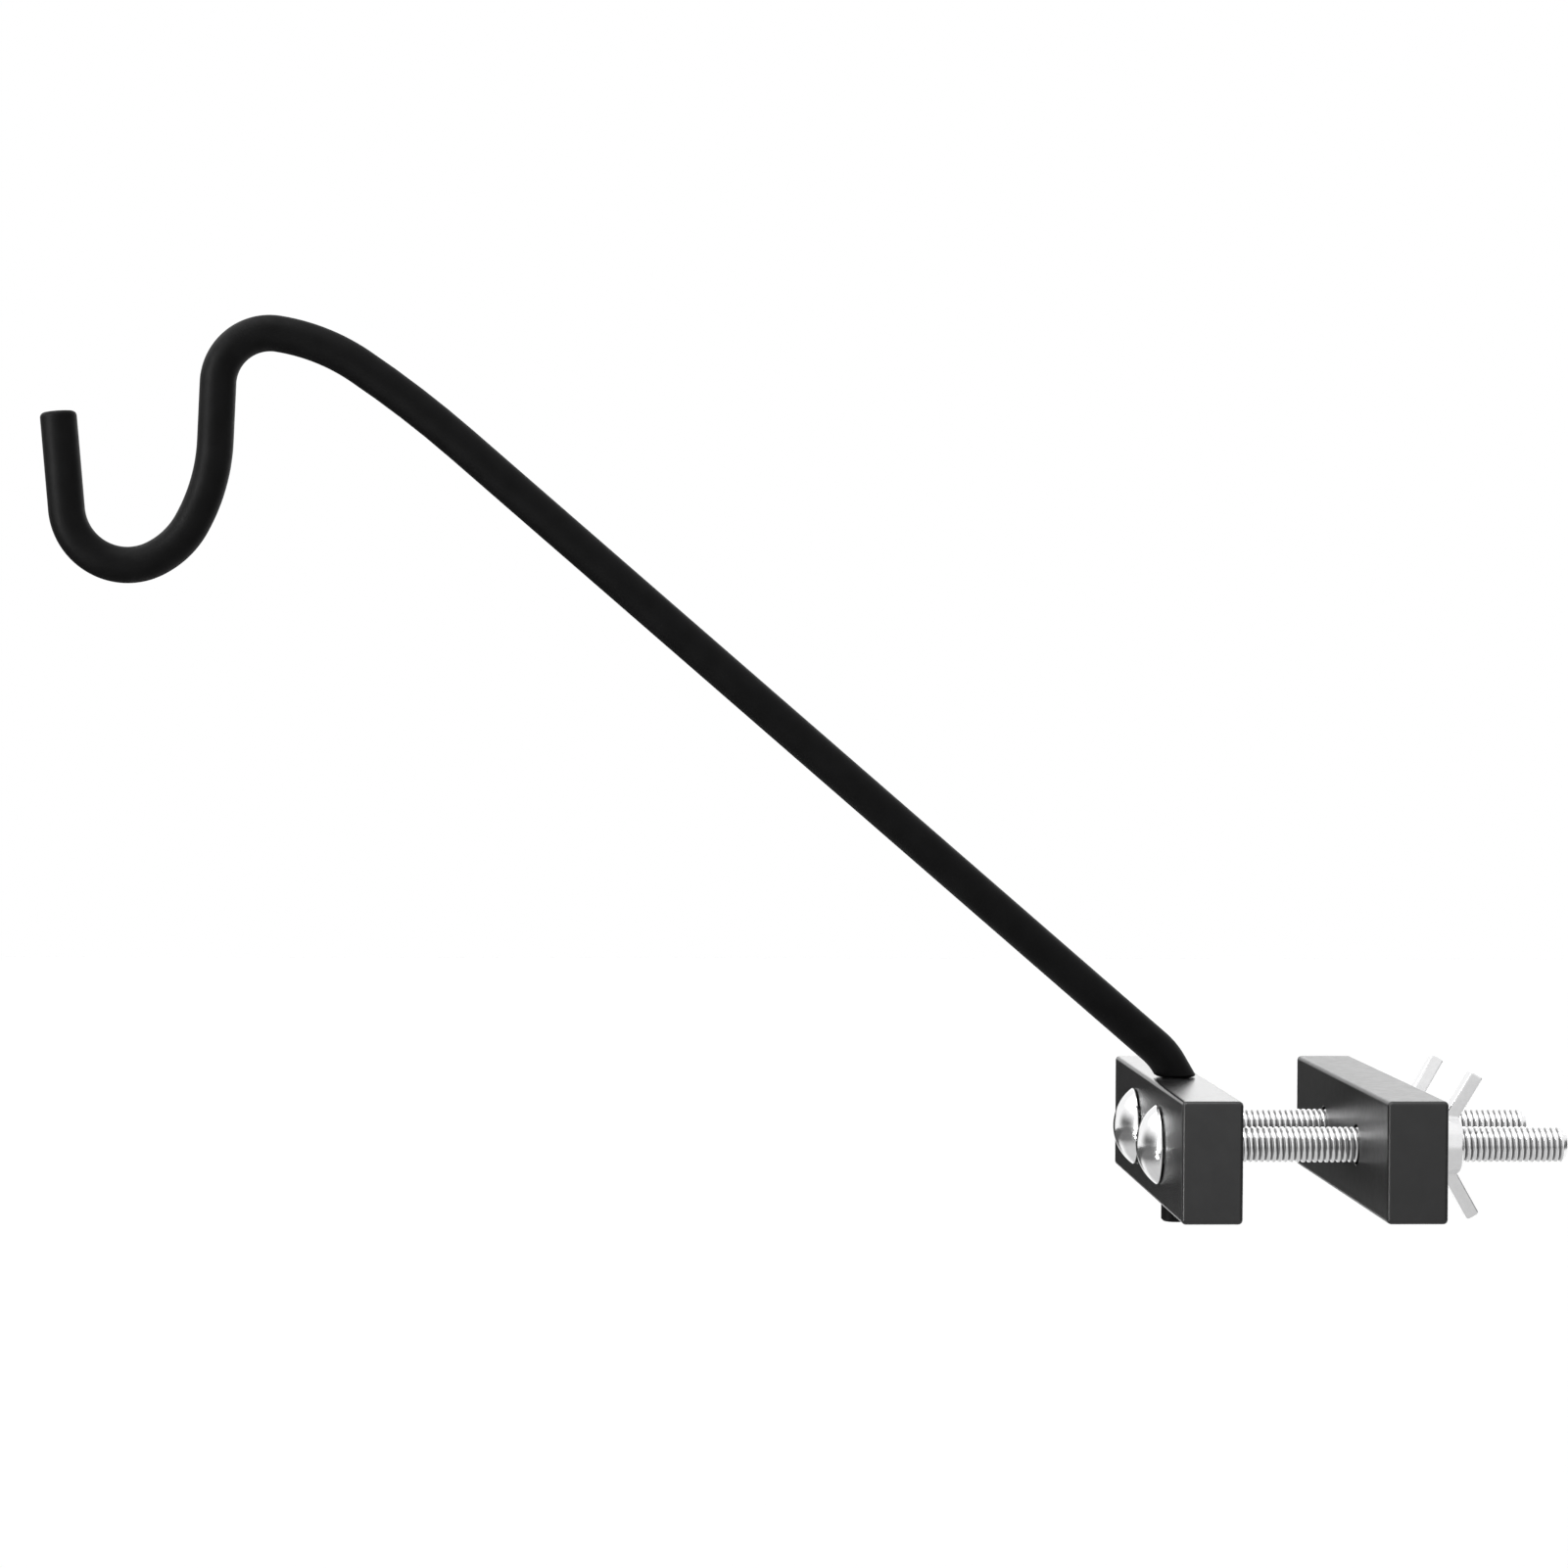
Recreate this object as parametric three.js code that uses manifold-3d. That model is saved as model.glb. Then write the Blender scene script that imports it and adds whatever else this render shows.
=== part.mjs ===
// Clamp-on deck hook: a cold formed rod that swivels in the front jaw of a two-bar rail clamp.
// Two carriage bolts draw the rear jaw towards the front jaw with wing nuts.
// Units are millimetres. X runs along the bolts, from the front jaw to the rear jaw, Y along the jaws, Z up.
// The origin is the centre of the front jaw's gripping face.

import * as THREE from 'three';
import { mergeVertices } from 'three/addons/utils/BufferGeometryUtils.js';
import { RoundedBoxGeometry } from 'three/addons/geometries/RoundedBoxGeometry.js';
import Module from 'manifold-3d';

// Jaws: 5/8 x 1-1/4 in flat bar, 5 in long.
const barThickness = 15.875;
const barHeight = 31.75;
const barLength = 127;
const barEdgeRadius = 1.2;
const jawGap = 37.3;
const barEdgeSteps = 3;

// Carriage bolts: 3/8 in, full thread, drawn at their major diameter.
const boltDiameter = 9.525;
const boltLength = 110;
const boltSpacing = 44.45;
const boltEndChamfer = 0.9;
const headDiameter = 21;
const headHeight = 5.7;
const headRimHeight = 0.5;
const neckWidth = 9.8;
const neckLength = 5;
const headSteps = 8;

// Flat washers.
const washerDiameter = 20.6;
const washerThickness = 1.65;
const washerEdgeChamfer = 0.2;

// Wing nuts.
const nutBaseDiameter = 17;
const nutTopDiameter = 15.6;
const nutHubHeight = 9.6;
const nutEdgeChamfer = 0.4;
const wingSpan = 40.4;
const wingReach = 15.4;
const wingWidth = 3.6;
const wingThickness = 4.2;
const wingRake = THREE.MathUtils.degToRad(30);
const wingTipRadius = 0.7;
const wingHeelRadius = 3.2;
const wingEdgeChamfer = 0.5;
const wingRootInset = 0.3;
const nutRestTurns = [THREE.MathUtils.degToRad(5), THREE.MathUtils.degToRad(-2)];

// Rod: cold formed from one length. Its foot is faced level and turned down to a spigot, and the rod leans
// from there on.
const rodDiameter = 10;
const spigotDiameter = 7.5;
const spigotStandout = 7.6;
const spigotChamfer = 0.6;
const shoulderChamfer = 0.5;
const shoulderRise = 0.3;
const footBendRadius = 19;
const slopeLength = 250;
const crownEntryRadius = 280;
const crownShoulderRadius = 54;
const crownRadius = 14;
const neckRun = 15.6;
const throatRadius = 51;
const throatLowerRadius = 23;
const bowlRadius = 16.3;
const tipLength = 26.3;
const tipEdgeRadius = 1.4;

// The rod's lean at its shoulder, and then the turns of its bends in order. A left turn is positive.
const footLean = THREE.MathUtils.degToRad(30);
const footBendTurn = THREE.MathUtils.degToRad(19.3);
const crownEntryTurn = THREE.MathUtils.degToRad(7);
const crownShoulderTurn = THREE.MathUtils.degToRad(25.2);
const crownTurn = THREE.MathUtils.degToRad(96);
const throatTurn = THREE.MathUtils.degToRad(-26.5);
const throatLowerTurn = THREE.MathUtils.degToRad(-35.2);
const bowlTurn = THREE.MathUtils.degToRad(-110.8);
const bendStep = THREE.MathUtils.degToRad(8);
const rodSides = 24;

// Clearances and seats.
const seatGap = 0.3;
const threadClearance = 0.3;
const neckClearance = 0.3;
const neckPocketRelief = 0.6;
const swivelClearance = 0.35;
const washerClearance = 0.4;
const slideClearance = 0.74;
const holeChamfer = 0.6;

const roundSides = 32;
const cornerSteps = 3;
const tipSteps = 3;
const overrun = 2;
const weldDistance = 1e-4;

// Places that several pieces share.
const barTop = barHeight / 2;
const frontBarX = -barThickness / 2;
const frontFaceX = -barThickness;
const rearBarX = jawGap + barThickness / 2;
const rearFaceX = jawGap + barThickness;
const boltSeatX = frontFaceX - seatGap;
const washerSeatX = rearFaceX + seatGap;
const nutSeatX = washerSeatX + washerThickness + seatGap;
const boltRows = [-boltSpacing / 2, boltSpacing / 2];

const rodFinish = new THREE.MeshStandardMaterial({ color: 0x111112, roughness: 0.42, metalness: 0.1 });
const jawFinish = new THREE.MeshStandardMaterial({ color: 0x3a3a3c, roughness: 0.5, metalness: 0.1 });
const plating = new THREE.MeshStandardMaterial({ color: 0xd8d9db, roughness: 0.2, metalness: 1 });

const wasm = await Module();
wasm.setup();

// Welds a closed geometry by position, drops triangles that collapse, and makes it a solid.
function solidOf(geometry) {
  const bare = geometry.clone();
  bare.deleteAttribute('normal');
  bare.deleteAttribute('uv');
  const welded = mergeVertices(bare, weldDistance);
  const corners = welded.index.array;
  const kept = [];
  for (let i = 0; i < corners.length; i += 3) {
    const [a, b, c] = corners.slice(i, i + 3);
    if (a !== b && b !== c && c !== a) kept.push(a, b, c);
  }
  return new wasm.Manifold(new wasm.Mesh({
    numProp: 3,
    vertProperties: new Float32Array(welded.attributes.position.array),
    triVerts: new Uint32Array(kept),
  }));
}

function geometryOf(solid) {
  const mesh = solid.getMesh();
  const geometry = new THREE.BufferGeometry();
  geometry.setAttribute('position', new THREE.BufferAttribute(mesh.vertProperties, 3));
  geometry.setIndex(new THREE.BufferAttribute(mesh.triVerts, 1));
  geometry.computeVertexNormals();
  return geometry;
}

// Joins the first geometry with the added ones and cuts the removed ones away.
function combine(base, added, removed) {
  let solid = solidOf(base);
  for (const extra of added) solid = solid.add(solidOf(extra));
  for (const tool of removed) solid = solid.subtract(solidOf(tool));
  return geometryOf(solid);
}

// Revolves a profile of [radius, distance] pairs about +Z.
function revolve(profile) {
  const points = profile.map(([radius, distance]) => new THREE.Vector2(radius, distance));
  return new THREE.LatheGeometry(points, roundSides).rotateX(Math.PI / 2);
}

// The same profile about +X.
function revolveAboutX(profile) {
  return revolve(profile).rotateY(Math.PI / 2);
}

// Profile of a drill that countersinks both mouths of a hole of this length.
function drillProfile(diameter, length) {
  const radius = diameter / 2;
  const mouth = radius + holeChamfer + overrun;
  return [
    [0, -overrun], [mouth, -overrun], [radius, holeChamfer],
    [radius, length - holeChamfer], [mouth, length + overrun], [0, length + overrun],
  ];
}

// The points of one [x, y, radius] corner, rounded by an arc that touches both of its sides.
function roundedCorner([x, y, radius], before, after) {
  const corner = new THREE.Vector2(x, y);
  if (radius === 0) return [corner];
  const back = new THREE.Vector2(before[0], before[1]).sub(corner).normalize();
  const ahead = new THREE.Vector2(after[0], after[1]).sub(corner).normalize();
  const halfAngle = Math.acos(back.dot(ahead)) / 2;
  const centre = back.clone().add(ahead).setLength(radius / Math.sin(halfAngle)).add(corner);
  const start = back.clone().multiplyScalar(radius / Math.tan(halfAngle)).add(corner);
  const sweep = (2 * halfAngle - Math.PI) * Math.sign(back.cross(ahead));
  return Array.from({ length: cornerSteps + 1 }, (_, step) => (
    start.clone().rotateAround(centre, sweep * (step / cornerSteps))
  ));
}

// A closed outline through rounded corners.
function roundedOutline(corners) {
  return new THREE.Shape(corners.flatMap((corner, i) => (
    roundedCorner(corner, corners.at(i - 1), corners[(i + 1) % corners.length])
  )));
}

function jawBlank(x) {
  const blank = new RoundedBoxGeometry(barThickness, barLength, barHeight, barEdgeSteps, barEdgeRadius);
  return blank.translate(x, 0, 0);
}

// The front jaw: a swivel hole down its middle, and a square pocket and a hole for each bolt.
function frontBar() {
  const swivelHole = revolve(drillProfile(spigotDiameter + 2 * swivelClearance, barHeight))
    .translate(frontBarX, 0, -barTop);
  const boltHole = revolveAboutX(drillProfile(boltDiameter + 2 * threadClearance, barThickness))
    .translate(frontFaceX, 0, 0);
  const pocketWidth = neckWidth + 2 * neckClearance;
  const pocketDepth = neckLength + neckPocketRelief;
  const pocket = new THREE.BoxGeometry(pocketDepth + overrun, pocketWidth, pocketWidth)
    .translate(frontFaceX + (pocketDepth - overrun) / 2, 0, 0);
  const boltCuts = boltRows.flatMap((y) => [boltHole, pocket].map((cut) => cut.clone().translate(0, y, 0)));
  return combine(jawBlank(frontBarX), [], [swivelHole, ...boltCuts]);
}

// The rear jaw slides on the bolts, so its two holes are loose.
function rearBar() {
  const holeDiameter = boltDiameter + 2 * slideClearance;
  const hole = revolveAboutX(drillProfile(holeDiameter, barThickness)).translate(jawGap, 0, 0);
  return combine(jawBlank(rearBarX), [], boltRows.map((y) => hole.clone().translate(0, y, 0)));
}

// A domed head with a thin rim, a square neck and a round shank, all along +X from the head's seat.
function carriageBolt() {
  const radius = boltDiameter / 2;
  const headRadius = headDiameter / 2;
  const crown = headHeight - headRimHeight;
  const domeRadius = (headRadius ** 2 + crown ** 2) / (2 * crown);
  const domeAngle = Math.asin(headRadius / domeRadius);
  const profile = [];
  for (let step = 0; step <= headSteps; step += 1) {
    const angle = domeAngle * (step / headSteps);
    profile.push([domeRadius * Math.sin(angle), domeRadius * (1 - Math.cos(angle)) - headHeight]);
  }
  profile[0][0] = 0;
  profile.push(
    [headRadius, 0], [radius, 0],
    [radius, boltLength - boltEndChamfer], [radius - boltEndChamfer, boltLength], [0, boltLength],
  );
  const neck = new THREE.BoxGeometry(neckLength + headRimHeight, neckWidth, neckWidth)
    .translate((neckLength - headRimHeight) / 2, 0, 0);
  return combine(revolveAboutX(profile), [neck], []);
}

function washer() {
  const outer = washerDiameter / 2;
  const inner = boltDiameter / 2 + washerClearance;
  const chamfer = washerEdgeChamfer;
  return revolveAboutX([
    [inner, 0], [outer - chamfer, 0], [outer, chamfer],
    [outer, washerThickness - chamfer], [outer - chamfer, washerThickness],
    [inner, washerThickness], [inner, 0],
  ]);
}

// Both wings as one outline of [along the bolt, away from it], joined through the hub.
function wingOutline() {
  const heelTip = [wingReach - wingWidth * Math.cos(wingRake), wingSpan / 2];
  const toeTip = [wingReach, wingSpan / 2 - wingWidth * Math.sin(wingRake)];
  const along = ([distance, height], root) => distance - (height - root) * Math.tan(wingRake);
  const toeRoot = nutTopDiameter / 2 - wingRootInset;
  const heelRoot = nutBaseDiameter / 2 - wingRootInset - nutEdgeChamfer;
  const half = [
    [nutEdgeChamfer, heelRoot, 0],
    [along(heelTip, heelRoot), heelRoot, wingHeelRadius],
    [...heelTip, wingTipRadius],
    [...toeTip, wingTipRadius],
    [along(toeTip, toeRoot), toeRoot, 0],
  ];
  const mirrored = half.map(([x, y, radius]) => [x, -y, radius]).reverse();
  return roundedOutline([...half, ...mirrored]);
}

// A tapered hub with two raked wings and a bore that clears the thread's crests.
function wingNut() {
  const hub = revolveAboutX([
    [0, 0], [nutBaseDiameter / 2 - nutEdgeChamfer, 0], [nutBaseDiameter / 2, nutEdgeChamfer],
    [nutTopDiameter / 2, nutHubHeight - nutEdgeChamfer], [nutTopDiameter / 2 - nutEdgeChamfer, nutHubHeight],
    [0, nutHubHeight],
  ]);
  const wings = new THREE.ExtrudeGeometry(wingOutline(), {
    depth: wingThickness - 2 * wingEdgeChamfer,
    bevelThickness: wingEdgeChamfer,
    bevelSize: wingEdgeChamfer,
    bevelOffset: -wingEdgeChamfer,
    bevelSegments: 1,
  }).translate(0, 0, wingEdgeChamfer - wingThickness / 2).rotateX(Math.PI / 2);
  const bore = revolveAboutX(drillProfile(boltDiameter + 2 * threadClearance, nutHubHeight));
  return combine(hub, [wings], [bore]);
}

// Walks the rod from its foot to its tip. Each station carries a ring of the rod: its centre, the direction
// that it is square to, its radius along Y and its reach in the plane of the rod's bends.
function rodStations() {
  const stations = [];
  const rodRadius = rodDiameter / 2;
  const spigotRadius = spigotDiameter / 2;
  let x = frontBarX;
  let z = -barTop - spigotStandout;
  let heading = Math.PI / 2;
  const ring = (radius = rodRadius) => stations.push({ x, z, facing: heading, radius, reach: radius });
  const levelRing = (radius) => {
    stations.push({ x, z, facing: Math.PI / 2, radius, reach: radius / Math.sin(heading) });
  };
  const advance = (length) => {
    x += length * Math.cos(heading);
    z += length * Math.sin(heading);
  };
  const bend = (radius, turn) => {
    const steps = Math.ceil(Math.abs(turn) / bendStep);
    const chord = 2 * radius * Math.sin(Math.abs(turn) / steps / 2);
    for (let step = 0; step < steps; step += 1) {
      heading += turn / steps / 2;
      advance(chord);
      heading += turn / steps / 2;
      ring();
    }
  };

  ring(spigotRadius - spigotChamfer);
  advance(spigotChamfer);
  ring(spigotRadius);
  advance(spigotStandout - spigotChamfer + barHeight + seatGap);
  ring(spigotRadius);
  heading += footLean;
  levelRing(rodRadius - shoulderChamfer);
  advance(shoulderChamfer / Math.cos(footLean));
  levelRing(rodRadius);
  advance(rodRadius * Math.tan(footLean) + shoulderRise);
  ring();
  bend(footBendRadius, footBendTurn);
  advance(slopeLength);
  ring();
  bend(crownEntryRadius, crownEntryTurn);
  bend(crownShoulderRadius, crownShoulderTurn);
  bend(crownRadius, crownTurn);
  advance(neckRun);
  ring();
  bend(throatRadius, throatTurn);
  bend(throatLowerRadius, throatLowerTurn);
  bend(bowlRadius, bowlTurn);
  advance(tipLength - tipEdgeRadius);
  ring();
  const [edgeX, edgeZ] = [x, z];
  for (let step = 1; step <= tipSteps; step += 1) {
    const angle = (Math.PI / 2) * (step / tipSteps);
    [x, z] = [edgeX, edgeZ];
    advance(tipEdgeRadius * Math.sin(angle));
    ring(rodRadius - tipEdgeRadius * (1 - Math.cos(angle)));
  }
  return stations;
}

// Lofts the rod through the rings of its stations and closes both ends.
function hookRod() {
  const stations = rodStations();
  const positions = [];
  const corners = [];
  for (const { x, z, facing, radius, reach } of stations) {
    for (let side = 0; side < rodSides; side += 1) {
      const angle = (2 * Math.PI * side) / rodSides;
      const across = reach * Math.sin(angle);
      positions.push(x - across * Math.sin(facing), radius * Math.cos(angle), z + across * Math.cos(facing));
    }
  }
  const last = stations.length - 1;
  for (const { x, z } of [stations[0], stations[last]]) positions.push(x, 0, z);
  const footCentre = stations.length * rodSides;
  for (let side = 0; side < rodSides; side += 1) {
    const next = (side + 1) % rodSides;
    for (let row = 0; row < last; row += 1) {
      const [a, b] = [row * rodSides + side, row * rodSides + next];
      const [c, d] = [a + rodSides, b + rodSides];
      corners.push(a, b, c, b, d, c);
    }
    corners.push(footCentre, next, side);
    corners.push(footCentre + 1, last * rodSides + side, last * rodSides + next);
  }
  const geometry = new THREE.BufferGeometry();
  geometry.setAttribute('position', new THREE.Float32BufferAttribute(positions, 3));
  geometry.setIndex(corners);
  geometry.computeVertexNormals();
  return geometry;
}

const hook = new THREE.Group();

function place(name, geometry, material, x = 0, y = 0, turn = 0) {
  const mesh = new THREE.Mesh(geometry, material);
  mesh.name = name;
  mesh.position.set(x, y, 0);
  mesh.rotation.x = turn;
  hook.add(mesh);
}

place('hook_rod', hookRod(), rodFinish);
place('front_bar', frontBar(), jawFinish);
place('rear_bar', rearBar(), jawFinish);
['near', 'far'].forEach((side, row) => {
  const y = boltRows[row];
  place(`carriage_bolt_${side}`, carriageBolt(), plating, boltSeatX, y);
  place(`washer_${side}`, washer(), plating, washerSeatX, y);
  place(`wing_nut_${side}`, wingNut(), plating, nutSeatX, y, nutRestTurns[row]);
});

export default hook;
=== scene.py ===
import math

import bmesh
import bpy
import numpy as np
from mathutils import Matrix, Vector


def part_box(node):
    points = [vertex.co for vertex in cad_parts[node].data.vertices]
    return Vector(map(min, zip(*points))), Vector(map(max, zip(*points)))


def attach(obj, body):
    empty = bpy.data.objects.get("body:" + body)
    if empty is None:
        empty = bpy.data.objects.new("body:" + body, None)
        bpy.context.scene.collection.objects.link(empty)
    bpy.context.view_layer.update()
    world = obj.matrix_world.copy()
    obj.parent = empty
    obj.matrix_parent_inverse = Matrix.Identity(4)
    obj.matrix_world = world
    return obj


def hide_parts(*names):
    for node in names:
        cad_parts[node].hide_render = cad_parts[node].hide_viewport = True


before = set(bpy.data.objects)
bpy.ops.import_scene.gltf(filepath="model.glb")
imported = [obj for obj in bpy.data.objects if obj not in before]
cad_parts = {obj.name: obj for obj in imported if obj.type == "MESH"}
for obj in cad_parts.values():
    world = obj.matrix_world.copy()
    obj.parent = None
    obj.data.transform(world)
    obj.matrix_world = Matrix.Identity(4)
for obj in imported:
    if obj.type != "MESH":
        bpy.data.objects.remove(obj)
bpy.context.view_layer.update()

QUARTER_TURN = math.pi / 2

# Jaws
BAR_EDGE_RADIUS = 0.0012
BAR_EDGE_STEPS = 5
HOLE_ROUNDING = 0.0003
SWIVEL_CLEARANCE = 0.00035
BOLT_HOLE_CLEARANCE = 0.0003
SLIDE_CLEARANCE = 0.00074
DRILL_SIDES = 64
CUT_OVERRUN = 0.002

# Carriage bolts
BOLT_SIDES = 64
SHANK_RADIUS = 0.00475
THREAD_PITCH = 0.0015875
THREAD_DEPTH = 0.00055
THREAD_CREST_SHARE = 0.3
THREAD_START = 0.0012
THREAD_RUN_OUT = 0.0034
THREAD_ROWS = 14
THREAD_SPARE_TURNS = 2
END_RADIUS = 0.0036
HEAD_HEIGHT = 0.0057
HEAD_RIM_HEIGHT = 0.0005
HEAD_RIM_ROUNDING = 0.00025
HEAD_STEPS = 28
NECK_WIDTH = 0.0098
NECK_LENGTH = 0.005
NECK_CORNER_SHARE = 1.32
NECK_TAPER = 0.0006

# Washers
WASHER_BORE_RADIUS = 0.0050
WASHER_ROUNDING = 0.0002
WASHER_ROUND_STEPS = 3

# Wing nuts
NUT_BASE_RADIUS = 0.0085
NUT_TOP_RADIUS = 0.0078
NUT_HUB_HEIGHT = 0.0096
NUT_EDGE_CHAMFER = 0.0004
WING_SPAN = 0.0404
WING_REACH = 0.0154
WING_WIDTH = 0.0036
WING_THICKNESS = 0.0042
WING_RAKE = math.radians(30)
WING_TIP_RADIUS = 0.0007
WING_HEEL_RADIUS = 0.0032
WING_ROOT_INSET = 0.0003
WING_CORNER_STEPS = 6
NUT_BORE_RADIUS = 0.0048
NUT_BORE_CHAMFER = 0.0007
NUT_VOXEL = 0.0002
NUT_SMOOTHING_SHARE = 0.5
NUT_SMOOTHING_STEPS = 6
NUT_REST_TURNS = {"near": math.radians(5), "far": math.radians(-2)}

# Rod
ROD_RADIUS = 0.0049
ROD_SIDES = 64
SPIGOT_RADIUS = 0.00375
SPIGOT_STANDOUT = 0.0076
SPIGOT_CHAMFER = 0.0006
SHOULDER_CHAMFER = 0.0005
SHOULDER_RISE = 0.00036
SEAT_GAP = 0.0003
SLOPE_LENGTH = 0.25
NECK_RUN = 0.0156
TIP_LENGTH = 0.0263
TIP_EDGE_RADIUS = 0.0014
TIP_STEPS = 6
BEND_STEP = math.radians(2)
FOOT_LEAN = math.radians(30)
# Each bend: radius and turn. A left turn is positive.
FOOT_BEND = (0.019, math.radians(19.3))
CROWN_BENDS = [(0.28, math.radians(7)), (0.054, math.radians(25.2)), (0.014, math.radians(96))]
HOOK_BENDS = [(0.051, math.radians(-26.5)), (0.023, math.radians(-35.2)), (0.0163, math.radians(-110.8))]

# Fineness of all pieces
WELD = 1e-7
WASHER_AND_NUT_SIDES = 96
SMALL_ROUND_STEPS = 4
SHARP_ANGLE = math.radians(40)
BOLT_SHARP_ANGLE = math.radians(50)

# Surface patterns: cells to the metre, and detail
COAT_MOTTLE = (160, 3.0)
COAT_GLOSS = (420, 2.0)
COAT_PEEL = (900, 2.0)
COAT_GRAIN = (3800, 1.0)
PLATE_HAZE = (700, 4.0)
PLATE_GLOSS = (1500, 2.0)
PLATE_GRAIN = (2600, 3.0)
# The part of each pattern's range over which colour or gloss goes from one end to the other
GLOSS_SPAN = (0.3, 0.7)
MOTTLE_SPAN = (0.35, 0.65)
HAZE_SPAN = (0.3, 0.7)

# Each coat: darkest and lightest colour, least and most roughness, specular level, depth of the orange peel.
COATS = {
    "rod_coat": ((0.002, 0.002, 0.0021), (0.004, 0.004, 0.0042), (0.48, 0.56), 0.08, 0.00002),
    "front_jaw_coat": ((0.015, 0.015, 0.0155), (0.019, 0.019, 0.0195), (0.25, 0.263), 0.5, 0.000004),
    # The rear jaw has the front jaw's charcoal coat; its darker colours are painted shade
    "rear_jaw_shaded_coat": ((0.010, 0.010, 0.0104), (0.013, 0.013, 0.0134), (0.31, 0.35), 0.5, 0.000004),
}
COAT_PEEL_STRENGTH = 0.35
COAT_GRAIN_STRENGTH = 0.2
COAT_GRAIN_DEPTH_SHARE = 1 / 3
PLATE_COLOURS = ((0.88, 0.88, 0.885), (0.93, 0.93, 0.935))
PLATE_ROUGHNESS = (0.12, 0.16)
PLATE_GRAIN_STRENGTH = 0.12
PLATE_GRAIN_DEPTH = 0.00001
# Painted shade in the thread grooves: colour at a groove's bottom, and depth under the crest where it ends
GROOVE_SHADE_COLOUR = (0.2, 0.2, 0.2)
BRIGHT_CREST_DEPTH = 0.00012
WHITE = (1, 1, 1)

# Studio
AMBIENT_STRENGTH = 0.5
BACKDROP_STRENGTH = 1.0
SUN_STRENGTH = 1.5
SUN_ANGLE = math.radians(50)
SUN_FROM = Vector((-0.25, -0.2, 1))
FLOOR_HEIGHT = -0.22
FLOOR_SIZE = 8.0
FLOOR_COLOUR = (0.9, 0.9, 0.9)
FLOOR_GLOW = 0.15
SHEET_CORNERS = ((-1, -1), (1, -1), (1, 1), (-1, 1))
CARD_MIDDLE_SHARE = 0.5
# Each card: centre, the way it faces, width and height, brightness, share of each that its edges fade over.
CARDS = {
    "back_light": ((0.14, 1.5, 0.45), (0, -1, -0.1), (0.44, 0.9), 2.2, (0.15, 0.1)),
    "back_right_light": ((0.75, 1.5, 0.45), (0, -1, -0.1), (0.9, 0.9), 2.0, (0.08, 0.1)),
    "back_left_dark": ((-0.24, 1.2, -0.095), (0.4, -1, 0), (0.64, 0.31), 0.03, (0.08, 0.2)),
    "back_left_mat": ((-0.75, 0.9, -0.212), (0, 0, 1), (1.3, 0.9), 0.1, (0.06, 0.2)),
    "left_dark": ((-1.0, 0.22, 0.06), (1, -0.1, 0), (1.5, 0.8), 0.14, (0.42, 0.5)),
    "left_light": ((-0.9, 0.25, 0.8), (0.9, -0.25, -0.8), (1.6, 0.8), 2.4, (0.25, 0.25)),
    "left_mat": ((-2.6, 0.2, -0.214), (0, 0, 1), (4.7, 2.2), 0.18, (0.05, 0.2)),
    "front_mat": ((0.6, -1.5, -0.217), (0, 0, 1), (4.5, 3.0), 0.62, (0.1, 0.12)),
    "under_mat": ((-0.05, 0.0, -0.216), (0, 0, 1), (0.9, 0.8), 0.62, (0.2, 0.2)),
    "right_dark": ((0.6, -0.3, 0.0), (-1, 0.2, 0), (1.3, 0.42), 0.04, (0.2, 0.25)),
    "front_fill": ((-0.12, -0.2, 0.09), (0, 1, 0), (1.2, 0.3), 0.9, (0.3, 0.3)),
    "front_room": ((0.0, -1.6, 0.4), (0, 1, 0), (3.6, 1.4), 0.75, (0.15, 0.2)),
    "left_strip": ((-0.93, -0.41, 0.2), (0.93, 0.38, -0.2), (0.24, 0.85), 20.0, (0.25, 0.08)),
    "left_spark_low": ((-0.42, -0.1, -0.17), (1, 0.2, 0.4), (0.035, 0.035), 30.0, (0.3, 0.3)),
    "left_spark_far": ((-0.7, -0.17, -0.17), (1, 0.2, 0.3), (0.05, 0.05), 30.0, (0.3, 0.3)),
}

# Camera
IMAGE_WIDTH = 1601
FOCAL_PIXELS = 3743.2
SENSOR_WIDTH = 36.0
CAMERA_PLACE = Vector((-0.1615616, -0.9952818, 0.1151642))
CAMERA_YAW = math.radians(2.6446)
CAMERA_PITCH = math.radians(1.1199)
CAMERA_ROLL = math.radians(0.2668)

front_low, front_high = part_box("front_bar")
rear_low, rear_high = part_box("rear_bar")
bolt_rows = {
    side: sum(corner.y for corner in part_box(f"carriage_bolt_{side}")) / 2
    for side in ("near", "far")
}
bolt_low, bolt_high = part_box("carriage_bolt_near")
head_radius = (bolt_high.y - bolt_low.y) / 2
bolt_seat_x = bolt_low.x + HEAD_HEIGHT
washer_low, washer_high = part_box("washer_near")
nut_seat_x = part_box("wing_nut_near")[0].x


def link_object(name, data):
    made = bpy.data.objects.new(name, data)
    bpy.context.scene.collection.objects.link(made)
    return made


def mesh_object(name, points, faces):
    mesh = bpy.data.meshes.new(name)
    mesh.from_pydata([tuple(p) for p in points], [], [tuple(f) for f in faces])
    mesh.validate()
    return link_object(name, mesh)


def weld(piece):
    """Merges the points that coincide and points all faces outwards."""
    work = bmesh.new()
    work.from_mesh(piece.data)
    bmesh.ops.remove_doubles(work, verts=work.verts, dist=WELD)
    bmesh.ops.dissolve_degenerate(work, edges=work.edges, dist=WELD)
    bmesh.ops.recalc_face_normals(work, faces=work.faces)
    work.to_mesh(piece.data)
    work.free()


def settle(piece):
    """Applies the piece's modifiers to its mesh."""
    bpy.context.view_layer.update()
    evaluated = piece.evaluated_get(bpy.context.evaluated_depsgraph_get())
    mesh = bpy.data.meshes.new_from_object(evaluated)
    piece.modifiers.clear()
    piece.data = mesh


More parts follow.
